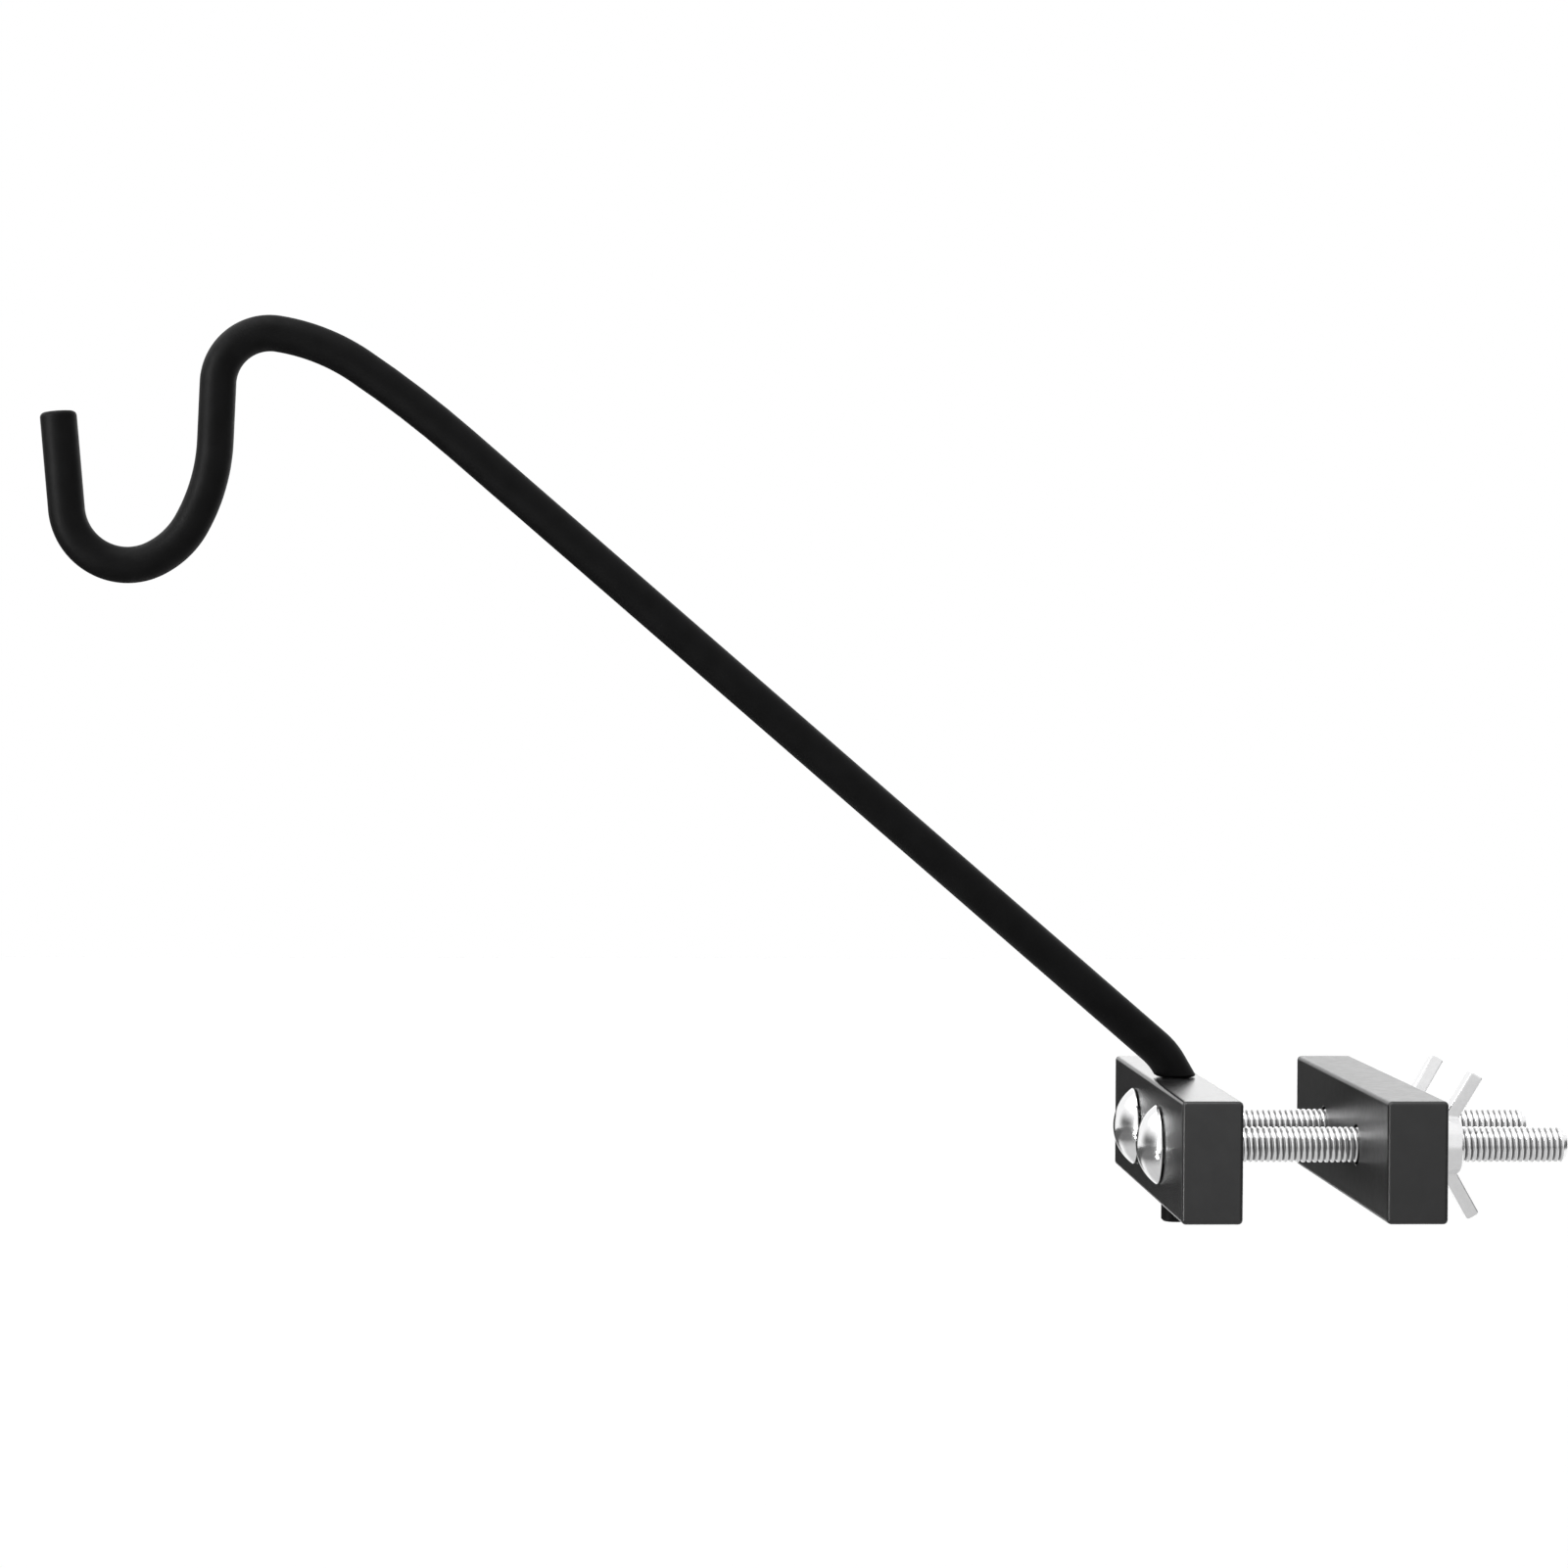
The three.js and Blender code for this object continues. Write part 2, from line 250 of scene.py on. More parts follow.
def carve(piece, cutters):
    """Cuts the cutters out of the piece."""
    for cutter in cutters:
        cut = piece.modifiers.new("cut", "BOOLEAN")
        cut.operation = "DIFFERENCE"
        cut.solver = "EXACT"
        cut.object = cutter
    settle(piece)
    for cutter in cutters:
        bpy.data.objects.remove(cutter)


def shade(piece, sharp_angle):
    """Smooth shading, apart from edges sharper than the angle, with flat faces kept flat."""
    piece.data.shade_smooth()
    piece.data.set_sharp_from_angle(angle=sharp_angle)
    flat = piece.modifiers.new("flat_faces", "WEIGHTED_NORMAL")
    flat.keep_sharp = True
    settle(piece)


def round_angles(sides):
    """The angles of evenly spaced points on a circle."""
    return [2 * math.pi * side / sides for side in range(sides)]


def arc(centre, radius, start, end, steps):
    """Points of an arc in a plane, from one angle to the other."""
    angles = [start + (end - start) * k / steps for k in range(steps + 1)]
    return [(centre[0] + radius * math.cos(angle), centre[1] + radius * math.sin(angle)) for angle in angles]


def skin(rows, sides):
    """Faces between neighbouring rings of points."""
    faces = []
    for row in range(rows - 1):
        for side in range(sides):
            a, b = row * sides + side, row * sides + (side + 1) % sides
            faces.append((a, b, b + sides, a + sides))
    return faces


def fan(first, sides, centre):
    """Faces from the ring that starts at a first point to a centre."""
    return [(first + side, first + (side + 1) % sides, centre) for side in range(sides)]


def tube(rings):
    """Points and faces of a closed tube through rings of points, with a fan at each end."""
    rows, sides = len(rings), len(rings[0])
    points = [p for ring in rings for p in ring]
    faces = skin(rows, sides)
    for row in (0, rows - 1):
        points.append(np.mean(np.array(rings[row]), axis=0))
        faces += fan(row * sides, sides, len(points) - 1)
    return points, faces


def turned(name, profile, sides, along, origin):
    """A solid turned about the X or Z axis through origin, from (radius, distance) pairs."""
    rings = []
    for radius, distance in profile:
        ring = []
        for angle in round_angles(sides):
            across, up = radius * math.cos(angle), radius * math.sin(angle)
            local = (distance, across, up) if along == "X" else (across, up, distance)
            ring.append(Vector(local) + Vector(origin))
        rings.append(ring)
    made = mesh_object(name, *tube(rings))
    weld(made)
    return made


def drill(name, radius, length, along, origin):
    """A drill that also rounds both mouths of its hole."""
    wide = radius + HOLE_ROUNDING
    half_turn = 2 * QUARTER_TURN
    entry = arc((wide, HOLE_ROUNDING), HOLE_ROUNDING, 3 * QUARTER_TURN, half_turn, SMALL_ROUND_STEPS)
    leave = arc((wide, length - HOLE_ROUNDING), HOLE_ROUNDING, half_turn, QUARTER_TURN, SMALL_ROUND_STEPS)
    profile = [(wide, -CUT_OVERRUN), *entry, *leave, (wide, length + CUT_OVERRUN)]
    return turned(name, profile, DRILL_SIDES, along, origin)


def block(name, low, high):
    """A plain box between two corners."""
    work = bmesh.new()
    bmesh.ops.create_cube(work, size=1)
    size, centre = high - low, (low + high) / 2
    for point in work.verts:
        point.co = Vector(c * s for c, s in zip(point.co, size)) + centre
    mesh = bpy.data.meshes.new(name)
    work.to_mesh(mesh)
    work.free()
    return link_object(name, mesh)


def jaw(name, low, high, cutters):
    """A flat bar with rounded edges and its holes."""
    bar = block(name, low, high)
    rounding = bar.modifiers.new("edges", "BEVEL")
    rounding.width = BAR_EDGE_RADIUS
    rounding.segments = BAR_EDGE_STEPS
    settle(bar)
    carve(bar, cutters)
    shade(bar, SHARP_ANGLE)
    return bar


def front_jaw():
    """The jaw that carries the rod, with a square pocket for the neck of each bolt."""
    length = front_high.x - front_low.x
    height = front_high.z - front_low.z
    swivel_foot = ((front_low.x + front_high.x) / 2, 0, front_low.z)
    cutters = [drill("swivel_drill", SPIGOT_RADIUS + SWIVEL_CLEARANCE, height, "Z", swivel_foot)]
    radius = SHANK_RADIUS + BOLT_HOLE_CLEARANCE
    half_pocket = NECK_WIDTH / 2 + BOLT_HOLE_CLEARANCE
    for side, y in bolt_rows.items():
        cutters.append(drill(f"bolt_drill_{side}", radius, length, "X", (front_low.x, y, 0)))
        pocket_low = Vector((front_low.x - CUT_OVERRUN, y - half_pocket, -half_pocket))
        pocket_high = Vector((bolt_seat_x + NECK_LENGTH + NECK_TAPER, y + half_pocket, half_pocket))
        cutters.append(block(f"pocket_{side}", pocket_low, pocket_high))
    return jaw("jaw_front", front_low, front_high, cutters)


def rear_jaw():
    """The jaw that slides on both bolts."""
    radius = SHANK_RADIUS + SLIDE_CLEARANCE
    length = rear_high.x - rear_low.x
    cutters = [
        drill(f"slide_drill_{side}", radius, length, "X", (rear_low.x, y, 0))
        for side, y in bolt_rows.items()
    ]
    return jaw("jaw_rear", rear_low, rear_high, cutters)


def about_axis(x, y, radius, angle):
    """A point beside the axis that runs along X at this y."""
    return Vector((x, y + radius * math.cos(angle), radius * math.sin(angle)))


def neck_radius(angle):
    """Distance from the bolt's axis to its square neck with soft corners."""
    half = NECK_WIDTH / 2
    return min(half / max(abs(math.cos(angle)), abs(math.sin(angle))), half * NECK_CORNER_SHARE)


def head_profile():
    """The dome, its rim and its flat underside, from apex to seat, as (radius, distance) pairs."""
    crown = HEAD_HEIGHT - HEAD_RIM_HEIGHT
    dome_radius = (head_radius ** 2 + crown ** 2) / (2 * crown)
    dome_angle = math.asin(head_radius / dome_radius)
    dome = []
    for step in range(1, HEAD_STEPS + 1):
        angle = dome_angle * step / HEAD_STEPS
        dome.append((dome_radius * math.sin(angle), dome_radius * (1 - math.cos(angle)) - HEAD_HEIGHT))
    rim_centre = (head_radius - HEAD_RIM_ROUNDING, -HEAD_RIM_ROUNDING)
    return dome + arc(rim_centre, HEAD_RIM_ROUNDING, 0, QUARTER_TURN, SMALL_ROUND_STEPS)


def eased(share):
    """A share from nought to one that starts and ends gently."""
    return share ** 2 * (3 - 2 * share)


def threaded_rows(start, end):
    """Rows of points that follow the thread's right-hand helix, with their radii."""
    turns = math.ceil((end - start) / THREAD_PITCH) + THREAD_SPARE_TURNS
    rows = []
    for row in range(turns * THREAD_ROWS + 1):
        pitches = row / THREAD_ROWS
        first = start + THREAD_PITCH * (pitches - 1)
        from_crest_share = 2 * abs(pitches - round(pitches))
        flank_share = max(0, (from_crest_share - THREAD_CREST_SHARE) / (1 - THREAD_CREST_SHARE))
        points = []
        for side in range(BOLT_SIDES):
            x = min(max(first + THREAD_PITCH * side / BOLT_SIDES, start), end)
            depth = THREAD_DEPTH * eased(flank_share) * min(1, (x - start) / THREAD_RUN_OUT)
            radius = min(SHANK_RADIUS - depth, END_RADIUS + end - x)
            points.append((x, radius))
        rows.append(points)
    return rows


def carriage_bolt(name, y):
    """Head, square neck and threaded shank as one closed surface."""
    angles = round_angles(BOLT_SIDES)
    rings = [[about_axis(bolt_seat_x + x, y, radius, a) for a in angles] for radius, x in head_profile()]
    neck_end = bolt_seat_x + NECK_LENGTH
    for x in (bolt_seat_x, neck_end - NECK_TAPER):
        rings.append([about_axis(x, y, neck_radius(a), a) for a in angles])
    for x in (neck_end, THREAD_START):
        rings.append([about_axis(x, y, SHANK_RADIUS, a) for a in angles])
    points = [p for ring in rings for p in ring]
    points.append(Vector((bolt_low.x, y, 0)))
    faces = skin(len(rings), BOLT_SIDES) + fan(0, BOLT_SIDES, len(points) - 1)

    first = len(points)
    rows = threaded_rows(THREAD_START, bolt_high.x)
    for row in rows:
        points += [about_axis(x, y, radius, a) for (x, radius), a in zip(row, angles)]
    for row in range(len(rows) - 1 - THREAD_ROWS):
        for side in range(BOLT_SIDES):
            a = first + row * BOLT_SIDES + side
            b = a + 1 if side + 1 < BOLT_SIDES else first + (row + THREAD_ROWS) * BOLT_SIDES
            faces.append((a, b, b + BOLT_SIDES, a + BOLT_SIDES))

    end = len(points)
    points += [about_axis(bolt_high.x, y, END_RADIUS, a) for a in angles]
    points.append(Vector((bolt_high.x, y, 0)))
    faces += fan(end, BOLT_SIDES, len(points) - 1)
    bolt = mesh_object(name, points, faces)
    weld(bolt)
    shade(bolt, BOLT_SHARP_ANGLE)
    return bolt


def washer(name, y):
    """A flat ring with rounded edges."""
    outer = (washer_high.y - washer_low.y) / 2 - WASHER_ROUNDING
    inner = WASHER_BORE_RADIUS + WASHER_ROUNDING
    front, back = WASHER_ROUNDING, washer_high.x - washer_low.x - WASHER_ROUNDING
    section = []
    for quarter, corner in enumerate(((outer, front), (outer, back), (inner, back), (inner, front))):
        start = (quarter - 1) * QUARTER_TURN
        section += arc(corner, WASHER_ROUNDING, start, start + QUARTER_TURN, WASHER_ROUND_STEPS)
    count = len(section)
    points = [
        about_axis(washer_low.x + x, y, radius, angle)
        for angle in round_angles(WASHER_AND_NUT_SIDES)
        for radius, x in section
    ]
    faces = []
    for row in range(WASHER_AND_NUT_SIDES):
        here, following = row * count, (row + 1) % WASHER_AND_NUT_SIDES * count
        for k in range(count):
            after = (k + 1) % count
            faces.append((here + k, here + after, following + after, following + k))
    made = mesh_object(name, points, faces)
    weld(made)
    shade(made, BOLT_SHARP_ANGLE)
    return made


def rounded_corner(corner, before, after):
    """The points of one (along, out, radius) corner, rounded by an arc that touches both sides."""
    radius = corner[2]
    here = Vector(corner[:2])
    if radius == 0:
        return [here]
    back = (Vector(before[:2]) - here).normalized()
    ahead = (Vector(after[:2]) - here).normalized()
    half_angle = back.angle(ahead) / 2
    centre = here + (back + ahead).normalized() * radius / math.sin(half_angle)
    start = here + back * radius / math.tan(half_angle) - centre
    sweep = (2 * half_angle - math.pi) * math.copysign(1, back.cross(ahead))
    return [
        centre + Matrix.Rotation(sweep * k / WING_CORNER_STEPS, 2) @ start
        for k in range(WING_CORNER_STEPS + 1)
    ]


def wing_root(tip, root):
    """The corner where a raked edge from the wing's tip comes down to this distance from the bolt."""
    return (tip[0] - (tip[1] - root) * math.tan(WING_RAKE), root)


def wing_outline():
    """Both wings as one outline of (along the bolt, away from it), joined through the hub."""
    heel_tip = (WING_REACH - WING_WIDTH * math.cos(WING_RAKE), WING_SPAN / 2)
    toe_tip = (WING_REACH, WING_SPAN / 2 - WING_WIDTH * math.sin(WING_RAKE))
    toe_root = NUT_TOP_RADIUS - WING_ROOT_INSET
    heel_root = NUT_BASE_RADIUS - WING_ROOT_INSET - NUT_EDGE_CHAMFER
    half = [
        (NUT_EDGE_CHAMFER, heel_root, 0),
        (*wing_root(heel_tip, heel_root), WING_HEEL_RADIUS),
        (*heel_tip, WING_TIP_RADIUS),
        (*toe_tip, WING_TIP_RADIUS),
        (*wing_root(toe_tip, toe_root), 0),
    ]
    corners = half + [(x, -y, radius) for x, y, radius in reversed(half)]
    outline = []
    for k, corner in enumerate(corners):
        outline += rounded_corner(corner, corners[k - 1], corners[(k + 1) % len(corners)])
    return outline


def nut_hub(name):
    """A slightly tapered hub with small chamfers."""
    top, chamfer = NUT_HUB_HEIGHT, NUT_EDGE_CHAMFER
    profile = [
        (NUT_BASE_RADIUS - chamfer, 0), (NUT_BASE_RADIUS, chamfer),
        (NUT_TOP_RADIUS, top - chamfer), (NUT_TOP_RADIUS - chamfer, top),
    ]
    return turned(name, profile, WASHER_AND_NUT_SIDES, "X", (0, 0, 0))


def nut_wings():
    """A plate of the wings' outline."""
    outline = wing_outline()
    count = len(outline)
    points = [(p.x, depth, p.y) for depth in (-WING_THICKNESS / 2, WING_THICKNESS / 2) for p in outline]
    faces = [tuple(range(count)), tuple(range(2 * count - 1, count - 1, -1))]
    faces += [(k, k + count, (k + 1) % count + count, (k + 1) % count) for k in range(count)]
    wings = mesh_object("wings", points, faces)
    weld(wings)
    return wings


def nut_bore():
    """A drill with chamfers for both mouths of the nut's hole."""
    mouth, top = NUT_BORE_RADIUS + NUT_BORE_CHAMFER, NUT_HUB_HEIGHT
    profile = [
        (mouth, -CUT_OVERRUN), (mouth, 0), (NUT_BORE_RADIUS, NUT_BORE_CHAMFER),
        (NUT_BORE_RADIUS, top - NUT_BORE_CHAMFER), (mouth, top), (mouth, top + CUT_OVERRUN),
    ]
    return turned("bore", profile, WASHER_AND_NUT_SIDES, "X", (0, 0, 0))


def wing_nut(name, y, turn):
    """A forged hub with two raked wings: the plain forms are fused, softened and bored."""
    nut = nut_hub(name)
    wings = nut_wings()
    fused = bmesh.new()
    fused.from_mesh(nut.data)
    fused.from_mesh(wings.data)
    fused.to_mesh(nut.data)
    fused.free()
    bpy.data.objects.remove(wings)
    remesh = nut.modifiers.new("fuse", "REMESH")
    remesh.mode = "VOXEL"
    remesh.voxel_size = NUT_VOXEL
    soften = nut.modifiers.new("soften", "SMOOTH")
    soften.factor = NUT_SMOOTHING_SHARE
    soften.iterations = NUT_SMOOTHING_STEPS
    settle(nut)

    carve(nut, [nut_bore()])
    nut.data.transform(Matrix.Translation((nut_seat_x, y, 0)) @ Matrix.Rotation(turn, 4, "X"))
    nut.data.shade_smooth()
    nut.data.set_sharp_from_angle(angle=SHARP_ANGLE)
    return nut


def rod_stations():
    """Walks the rod from foot to tip: (x, z, direction it is square to, radius, reach) of each ring."""
    stations = []
    spot = {
        "x": (front_low.x + front_high.x) / 2,
        "z": front_low.z - SPIGOT_STANDOUT,
        "heading": QUARTER_TURN,
    }

    def ring(radius=ROD_RADIUS):
        stations.append((spot["x"], spot["z"], spot["heading"], radius, radius))

    def level_ring(radius):
        stations.append((spot["x"], spot["z"], QUARTER_TURN, radius, radius / math.sin(spot["heading"])))

    def advance(length):
        spot["x"] += length * math.cos(spot["heading"])
        spot["z"] += length * math.sin(spot["heading"])

    def bend(radius, turn):
        steps = math.ceil(abs(turn) / BEND_STEP)
        chord = 2 * radius * math.sin(abs(turn) / steps / 2)
        for _ in range(steps):
            spot["heading"] += turn / steps / 2
            advance(chord)
            spot["heading"] += turn / steps / 2
            ring()

    ring(SPIGOT_RADIUS - SPIGOT_CHAMFER)
    advance(SPIGOT_CHAMFER)
    ring(SPIGOT_RADIUS)
    advance(SPIGOT_STANDOUT - SPIGOT_CHAMFER + front_high.z - front_low.z + SEAT_GAP)
    ring(SPIGOT_RADIUS)
    spot["heading"] += FOOT_LEAN
    level_ring(ROD_RADIUS - SHOULDER_CHAMFER)
    advance(SHOULDER_CHAMFER / math.cos(FOOT_LEAN))
    level_ring(ROD_RADIUS)
    advance(ROD_RADIUS * math.tan(FOOT_LEAN) + SHOULDER_RISE)
    ring()
    bend(*FOOT_BEND)
    advance(SLOPE_LENGTH)
    ring()
    for radius, turn in CROWN_BENDS:
        bend(radius, turn)
    advance(NECK_RUN)
    ring()
    for radius, turn in HOOK_BENDS:
        bend(radius, turn)
    advance(TIP_LENGTH - TIP_EDGE_RADIUS)
    ring()
    edge = dict(spot)
    for step in range(1, TIP_STEPS + 1):
        angle = QUARTER_TURN * step / TIP_STEPS
        spot.update(edge)
        advance(TIP_EDGE_RADIUS * math.sin(angle))
        ring(ROD_RADIUS - TIP_EDGE_RADIUS * (1 - math.cos(angle)))
    return stations


def hook_rod():
    """Spigot, slope, crown and hook as one closed tube."""
    rings = []
    for x, z, facing, radius, reach in rod_stations():
        ring = []
        for angle in round_angles(ROD_SIDES):
            across = reach * math.sin(angle)
            ring.append(Vector((
                x - across * math.sin(facing), radius * math.cos(angle), z + across * math.cos(facing),
            )))
        rings.append(ring)
    rod = mesh_object("rod", *tube(rings))
    weld(rod)
    shade(rod, SHARP_ANGLE)
    return rod


class Graph:
    """Adds and links the nodes of one node tree."""

    def __init__(self, tree):
        self.nodes = tree.nodes
        self.links = tree.links

    def add(self, kind, **settings):
        node = self.nodes.new(kind)
        for key, value in settings.items():
            setattr(node, key, value)
        return node

    def link(self, source, target):
        self.links.new(source, target)

    def seen_or_reflected(self):
        """One for camera, glossy and transmission rays, and nought for the rest."""
        rays = self.add("ShaderNodeLightPath")
        seen = rays.outputs["Is Camera Ray"]
        for name in ("Is Glossy Ray", "Is Transmission Ray"):
            either = self.add("ShaderNodeMath", operation="MAXIMUM")
            self.link(seen, either.inputs[0])
            self.link(rays.outputs[name], either.inputs[1])
            seen = either.outputs["Value"]
        return seen


class Surface(Graph):
    """The material of a piece: its shader, and the patterns that drive it."""

    def __init__(self, name):
        self.material = bpy.data.materials.new(name)
        self.material.use_nodes = True
        super().__init__(self.material.node_tree)
        self.shader = self.nodes["Principled BSDF"]
        self.place = self.add("ShaderNodeTexCoord").outputs["Object"]

    def noise(self, scale, detail):
        """Noise of this many cells to the metre."""
        noise = self.add("ShaderNodeTexNoise")
        noise.inputs["Scale"].default_value = scale
        noise.inputs["Detail"].default_value = detail
        self.link(self.place, noise.inputs["Vector"])
        return noise.outputs["Fac"]

    def spread(self, value, span, low, high):
        """The value, with its span stretched to reach from low to high."""
        stretch = self.add("ShaderNodeMapRange")
        numbers = {"From Min": span[0], "From Max": span[1], "To Min": low, "To Max": high}
        for name, number in numbers.items():
            stretch.inputs[name].default_value = number
        self.link(value, stretch.inputs["Value"])
        return stretch.outputs["Result"]

    def colours(self, value, span, ends):
        """The value as a colour between two ends, which lie at the ends of its span."""
        ramp = self.add("ShaderNodeValToRGB")
        for element, position, colour in zip(ramp.color_ramp.elements, span, ends):
            element.position = position
            element.color = (*colour, 1)
        self.link(value, ramp.inputs["Fac"])
        return ramp.outputs["Color"]

    def bolt_place(self):
        """Place along the bolts, and distance from the axis of the closer one."""
        apart = self.add("ShaderNodeSeparateXYZ")
        self.link(self.place, apart.inputs["Vector"])
        aside = self.add("ShaderNodeMath", operation="ABSOLUTE")
        self.link(apart.outputs["Y"], aside.inputs[0])
        offset = self.add("ShaderNodeMath", operation="SUBTRACT")
        self.link(aside.outputs["Value"], offset.inputs[0])
        offset.inputs[1].default_value = abs(bolt_rows["near"])
        across = self.add("ShaderNodeCombineXYZ")
        self.link(offset.outputs["Value"], across.inputs["Y"])
        self.link(apart.outputs["Z"], across.inputs["Z"])
        length = self.add("ShaderNodeVectorMath", operation="LENGTH")
        self.link(across.outputs["Vector"], length.inputs[0])
        return apart.outputs["X"], length.outputs["Value"]

    def bump(self, layers):
        """Stacks bumps of (height value, strength, depth in metres)."""
        normal = None
        for height, strength, depth in layers:
            bump = self.add("ShaderNodeBump")
            bump.inputs["Strength"].default_value = strength
            bump.inputs["Distance"].default_value = depth
            self.link(height, bump.inputs["Height"])
            if normal is not None:
                self.link(normal, bump.inputs["Normal"])
            normal = bump.outputs["Normal"]
        self.link(normal, self.shader.inputs["Normal"])


def coat(name, dark, light, roughness, specular, peel_depth):
    """A satin coat: even colour with a faint mottle, and fine orange peel."""
    surface = Surface(name)
    mottle = surface.noise(*COAT_MOTTLE)
    gloss = surface.noise(*COAT_GLOSS)
    shader = surface.shader.inputs
    surface.link(surface.colours(mottle, MOTTLE_SPAN, (dark, light)), shader["Base Color"])
    surface.link(surface.spread(gloss, GLOSS_SPAN, *roughness), shader["Roughness"])
    shader["Specular IOR Level"].default_value = specular
    peel = (surface.noise(*COAT_PEEL), COAT_PEEL_STRENGTH, peel_depth)
    grain = (surface.noise(*COAT_GRAIN), COAT_GRAIN_STRENGTH, peel_depth * COAT_GRAIN_DEPTH_SHARE)
    surface.bump([peel, grain])
    return surface.material


def painted_groove_shade(surface, tint):
    """Painted shade: the tint, darkened towards the bottom of the thread's grooves."""
    along, radius = surface.bolt_place()
    groove_to_crest = (SHANK_RADIUS - THREAD_DEPTH, SHANK_RADIUS - BRIGHT_CREST_DEPTH)
    height = surface.spread(radius, groove_to_crest, 0, 1)
    thread_end = bolt_high.x - (SHANK_RADIUS - END_RADIUS)
    within = surface.add("ShaderNodeMath", operation="COMPARE")
    surface.link(along, within.inputs[0])
    within.inputs[1].default_value = (THREAD_START + thread_end) / 2
    within.inputs[2].default_value = (thread_end - THREAD_START) / 2
    mixed = surface.add("ShaderNodeMix", data_type="RGBA", blend_type="MULTIPLY")
    surface.link(within.outputs["Value"], mixed.inputs["Factor"])
    surface.link(tint, mixed.inputs["A"])
    surface.link(surface.colours(height, (0, 1), (GROOVE_SHADE_COLOUR, WHITE)), mixed.inputs["B"])
    return mixed.outputs["Result"]


def plate(name, threaded=False):
    """Bright zinc plate: polished metal with a slight haze and a very fine grain; painted shade between
    threads.
    """
    surface = Surface(name)
    shader = surface.shader.inputs
    tint = surface.colours(surface.noise(*PLATE_HAZE), HAZE_SPAN, PLATE_COLOURS)
    if threaded:
        tint = painted_groove_shade(surface, tint)
    surface.link(tint, shader["Base Color"])
    gloss = surface.noise(*PLATE_GLOSS)
    surface.link(surface.spread(gloss, GLOSS_SPAN, *PLATE_ROUGHNESS), shader["Roughness"])
    shader["Metallic"].default_value = 1.0
    surface.bump([(surface.noise(*PLATE_GRAIN), PLATE_GRAIN_STRENGTH, PLATE_GRAIN_DEPTH)])
    return surface.material


def place_camera():
    data = bpy.data.cameras.new("camera")
    data.sensor_fit = "HORIZONTAL"
    data.sensor_width = SENSOR_WIDTH
    data.lens = FOCAL_PIXELS * SENSOR_WIDTH / IMAGE_WIDTH
    forward = Vector((
        math.sin(CAMERA_YAW) * math.cos(CAMERA_PITCH),
        math.cos(CAMERA_YAW) * math.cos(CAMERA_PITCH),
        -math.sin(CAMERA_PITCH),
    ))
    level_right = Vector((math.cos(CAMERA_YAW), -math.sin(CAMERA_YAW), 0))
    level_up = level_right.cross(forward)
    right = level_right * math.cos(CAMERA_ROLL) + level_up * math.sin(CAMERA_ROLL)
    up = level_up * math.cos(CAMERA_ROLL) - level_right * math.sin(CAMERA_ROLL)
    turn = Matrix((right, up, -forward)).transposed().to_4x4()
    camera = link_object("camera", data)
    camera.matrix_world = Matrix.Translation(CAMERA_PLACE) @ turn
    bpy.context.scene.camera = camera


def soft_sun():
    """The one lamp: a very broad light from above, a little to the front left."""
    data = bpy.data.lights.new("soft_sun", "SUN")
    data.energy = SUN_STRENGTH
    data.angle = SUN_ANGLE
    lamp = link_object("soft_sun", data)
    lamp.rotation_euler = (-SUN_FROM).to_track_quat("-Z", "Y").to_euler()


def surroundings():
    """White as seen by the camera and in reflections, and a plain soft light on matt surfaces."""
    world = bpy.data.worlds.new("studio")
    bpy.context.scene.world = world
    world.use_nodes = True
    graph = Graph(world.node_tree)
    strength = graph.add("ShaderNodeMix")
    strength.inputs["A"].default_value = AMBIENT_STRENGTH
    strength.inputs["B"].default_value = BACKDROP_STRENGTH
    graph.link(graph.seen_or_reflected(), strength.inputs["Factor"])
    background = graph.nodes["Background"]
    background.inputs["Color"].default_value = (*WHITE, 1)
    graph.link(strength.outputs["Result"], background.inputs["Strength"])


class StageSurface(Graph):
    """A material made of plain shaders, for the floor and the cards."""

    def __init__(self, name):
        self.material = bpy.data.materials.new(name)
        self.material.use_nodes = True
        super().__init__(self.material.node_tree)
        self.nodes.clear()

    def finish(self, shader):
        output = self.add("ShaderNodeOutputMaterial")
        self.link(shader, output.inputs["Surface"])
        return self.material


def stage_sheet(name, place, width, height, material):
    """A rectangle of the studio about its own centre, spread with its material from corner to corner."""
    corners = [place @ Vector((x * width / 2, y * height / 2, 0)) for x, y in SHEET_CORNERS]
    sheet = mesh_object(name, corners, [(0, 1, 2, 3)])
    spread = sheet.data.uv_layers.new(name="spread")
    for loop, (x, y) in zip(spread.data, SHEET_CORNERS):
        loop.uv = ((x + 1) / 2, (y + 1) / 2)
    sheet.data.materials.append(material)
    return sheet


def studio_floor():
    """A plain white floor that keeps the shadow. A faint glow lifts it to the white of the backdrop."""
    surface = StageSurface("floor_white")
    matt = surface.add("ShaderNodeBsdfDiffuse")
    matt.inputs["Color"].default_value = (*FLOOR_COLOUR, 1)
    glow = surface.add("ShaderNodeEmission")
    lift = surface.add("ShaderNodeMath", operation="MULTIPLY")
    lift.inputs[1].default_value = FLOOR_GLOW
    surface.link(surface.seen_or_reflected(), lift.inputs[0])
    surface.link(lift.outputs["Value"], glow.inputs["Strength"])
    both = surface.add("ShaderNodeAddShader")
    surface.link(matt.outputs["BSDF"], both.inputs[0])
    surface.link(glow.outputs["Emission"], both.inputs[1])
    material = surface.finish(both.outputs["Shader"])
    place = Matrix.Translation((0, 0, FLOOR_HEIGHT))
    floor = stage_sheet("floor", place, FLOOR_SIZE, FLOOR_SIZE, material)


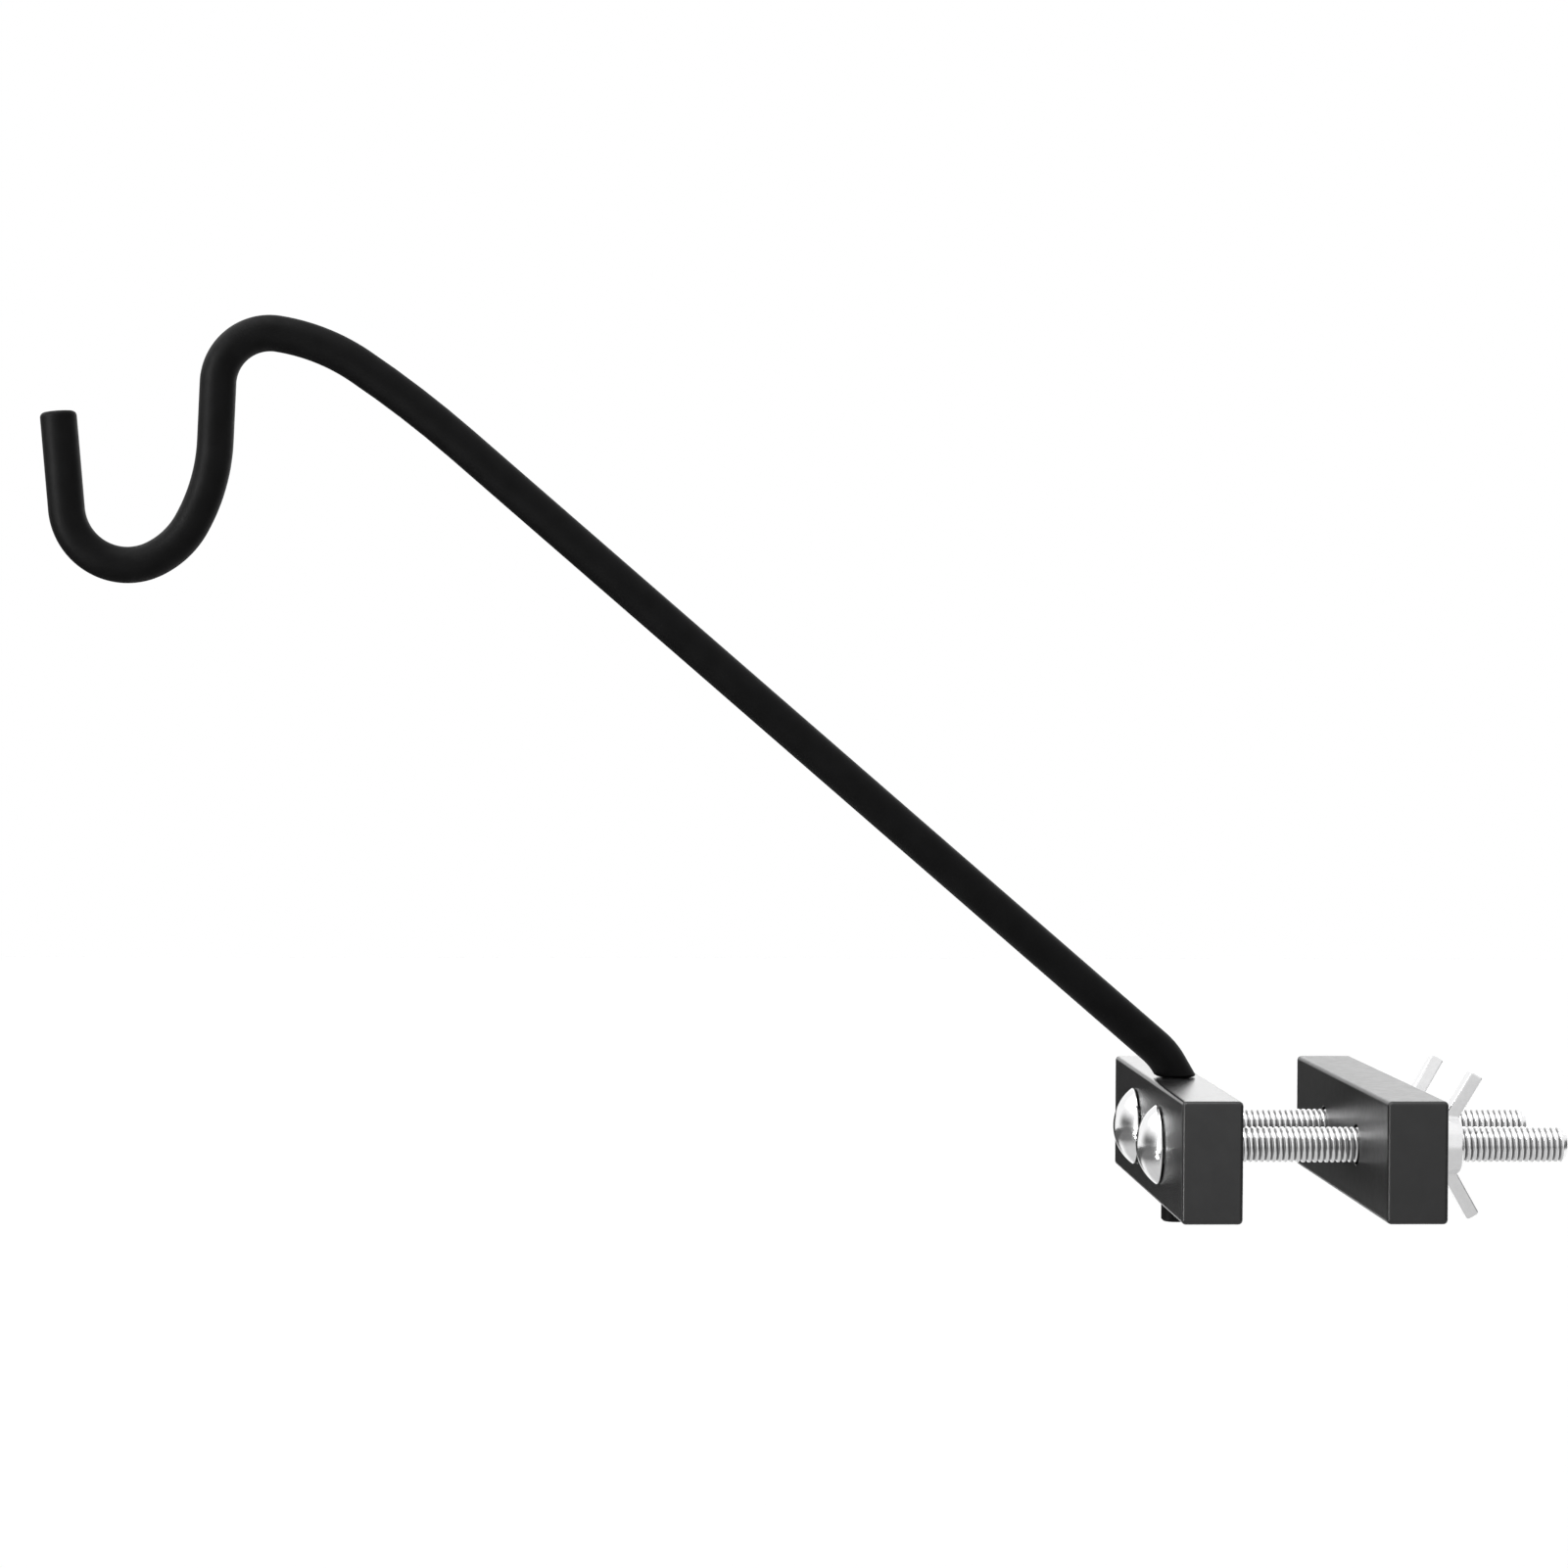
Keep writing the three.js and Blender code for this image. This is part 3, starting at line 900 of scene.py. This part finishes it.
def card_surface(name, brightness, fade_shares):
    """A glow that fades to clear towards the edges."""
    surface = StageSurface(name)
    where = surface.add("ShaderNodeUVMap", uv_map="spread")
    apart = surface.add("ShaderNodeSeparateXYZ")
    surface.link(where.outputs["UV"], apart.inputs["Vector"])
    cover = surface.add("ShaderNodeMath", operation="MULTIPLY")
    for slot, axis in enumerate(("X", "Y")):
        inwards = surface.add("ShaderNodeMath", operation="PINGPONG")
        inwards.inputs[1].default_value = CARD_MIDDLE_SHARE
        surface.link(apart.outputs[axis], inwards.inputs[0])
        fade = surface.add("ShaderNodeMapRange", interpolation_type="SMOOTHSTEP")
        fade.inputs["From Max"].default_value = fade_shares[slot]
        surface.link(inwards.outputs["Value"], fade.inputs["Value"])
        surface.link(fade.outputs["Result"], cover.inputs[slot])
    glow = surface.add("ShaderNodeEmission")
    glow.inputs["Strength"].default_value = brightness
    clear = surface.add("ShaderNodeBsdfTransparent")
    blend = surface.add("ShaderNodeMixShader")
    surface.link(cover.outputs["Value"], blend.inputs["Fac"])
    surface.link(clear.outputs["BSDF"], blend.inputs[1])
    surface.link(glow.outputs["Emission"], blend.inputs[2])
    return surface.finish(blend.outputs["Shader"])


def card(name, centre, facing, size, brightness, fade_shares):
    """A studio card that only reflections see, with edges that fade over a share of its width and height."""
    turn = Vector(facing).to_track_quat("Z", "Y").to_matrix().to_4x4()
    place = Matrix.Translation(Vector(centre)) @ turn
    board = stage_sheet(name, place, *size, card_surface(name, brightness, fade_shares))
    board.visible_camera = False
    board.visible_diffuse = False
    board.visible_shadow = False
    board.visible_transmission = False


def finish_piece(piece, body, node, material):
    """Gives a piece its material and body, and lets it stand for its node."""
    piece.data.materials.clear()
    piece.data.materials.append(material)
    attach(piece, body)
    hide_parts(node)


place_camera()
coats = {name: coat(name, *values) for name, values in COATS.items()}
bright_plate = plate("bright_plate")
# The bolts' plate carries painted shade in the thread grooves
threaded_plate = plate("threaded_plate", threaded=True)

finish_piece(hook_rod(), "arm", "hook_rod", coats["rod_coat"])
finish_piece(front_jaw(), "clamp_base", "front_bar", coats["front_jaw_coat"])
# The rear jaw's coat: the front jaw's charcoal, darkened as painted shade
finish_piece(rear_jaw(), "jaw", "rear_bar", coats["rear_jaw_shaded_coat"])
for side, y in bolt_rows.items():
    bolt = carriage_bolt(f"bolt_{side}", y)
    finish_piece(bolt, "clamp_base", f"carriage_bolt_{side}", threaded_plate)
    flat_washer = washer(f"flat_washer_{side}", y)
    finish_piece(flat_washer, "jaw", f"washer_{side}", bright_plate)
    nut = wing_nut(f"nut_{side}", y, NUT_REST_TURNS[side])
    finish_piece(nut, f"nut_{side}", f"wing_nut_{side}", bright_plate)

surroundings()
studio_floor()
soft_sun()
for card_name, card_values in CARDS.items():
    card(card_name, *card_values)

bpy.context.scene.view_settings.view_transform = "Standard"
